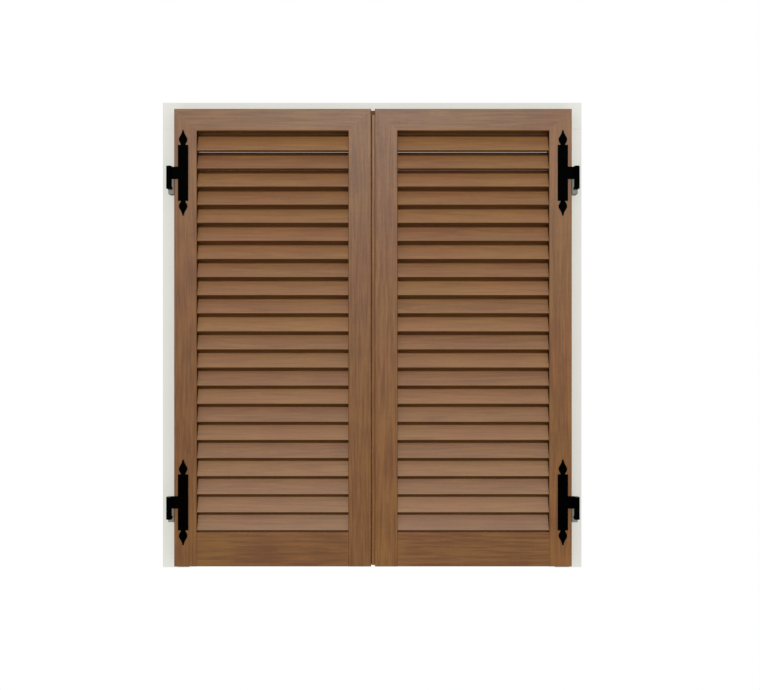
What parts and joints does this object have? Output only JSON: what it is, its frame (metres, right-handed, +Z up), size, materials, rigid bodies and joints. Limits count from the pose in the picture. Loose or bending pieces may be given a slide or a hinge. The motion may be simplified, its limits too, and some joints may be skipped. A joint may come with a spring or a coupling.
{
  "type": "louvred shutters",
  "caption": "Pair of side-hung wooden louvred shutter leaves on spear-ended strap hinges and pintles, with a painted frame and slide bolts.",
  "frame": {"origin": "centre of the four fixing holes, on the wall face behind the frame", "axes": "+Z up; the shutters' front faces -Y, and the wall face lies at Y = 0; +X to the right seen from the front"},
  "size_m": [1.104, 0.1102, 1.225],
  "materials": {
    "leaf_wood": "stained, satin",
    "slat_wood": "stained, satin",
    "frame_paint": "pale paint on wood, matt",
    "black_iron": "black paint, satin",
    "zinc": "zinc-plated steel",
    "brown_rubber": "soft, matt"
  },
  "bodies": {
    "frame": {"head": "frame_paint", "left_jamb": "frame_paint", "right_jamb": "frame_paint", "corner_screws": "zinc", "left_upper_pintle": "zinc", "left_lower_pintle": "zinc", "right_upper_pintle": "zinc", "right_lower_pintle": "zinc"},
    "left_leaf": {"left_outer_stile": "leaf_wood", "left_meeting_stile": "leaf_wood", "left_top_rail": "leaf_wood", "left_bottom_rail": "leaf_wood", "left_slats": "slat_wood", "left_upper_strap": "black_iron", "left_lower_strap": "black_iron", "left_strap_screws": "black_iron", "left_top_bolt_guide": "zinc", "left_bottom_bolt_guide": "zinc", "left_guide_screws": "zinc"},
    "right_leaf": {"right_outer_stile": "leaf_wood", "right_meeting_stile": "leaf_wood", "right_top_rail": "leaf_wood", "right_bottom_rail": "leaf_wood", "right_slats": "slat_wood", "right_upper_strap": "black_iron", "right_lower_strap": "black_iron", "right_strap_screws": "black_iron", "right_top_bolt_guide": "zinc", "right_bottom_bolt_guide": "zinc", "right_guide_screws": "zinc", "meeting_strip": "leaf_wood", "meeting_seal": "brown_rubber"},
    "left_top_bolt": {"left_top_bolt": "zinc"},
    "left_bottom_bolt": {"left_bottom_bolt": "zinc"},
    "right_top_bolt": {"right_top_bolt": "zinc"},
    "right_bottom_bolt": {"right_bottom_bolt": "zinc"}
  },
  "joints": [
    {"name": "left_leaf_swing", "type": "hinge", "parent": "frame", "child": "left_leaf", "pos_m": [-0.5252, -0.103, 0], "axis": [0, 0, -1], "range_deg": [0, 180], "deforming": ["meeting_seal"]},
    {"name": "right_leaf_swing", "type": "hinge", "parent": "frame", "child": "right_leaf", "pos_m": [0.5301, -0.103, 0], "axis": [0, 0, 1], "range_deg": [0, 180], "deforming": ["meeting_seal"]},
    {"name": "left_top_bolt_slide", "type": "slide", "parent": "left_leaf", "child": "left_top_bolt", "axis": [0, 0, 1], "range_m": [0, 0.02]},
    {"name": "left_bottom_bolt_slide", "type": "slide", "parent": "left_leaf", "child": "left_bottom_bolt", "axis": [0, 0, -1], "range_m": [0, 0.02]},
    {"name": "right_top_bolt_slide", "type": "slide", "parent": "right_leaf", "child": "right_top_bolt", "axis": [0, 0, 1], "range_m": [0, 0.02]},
    {"name": "right_bottom_bolt_slide", "type": "slide", "parent": "right_leaf", "child": "right_bottom_bolt", "axis": [0, 0, -1], "range_m": [0, 0.02]}
  ]
}
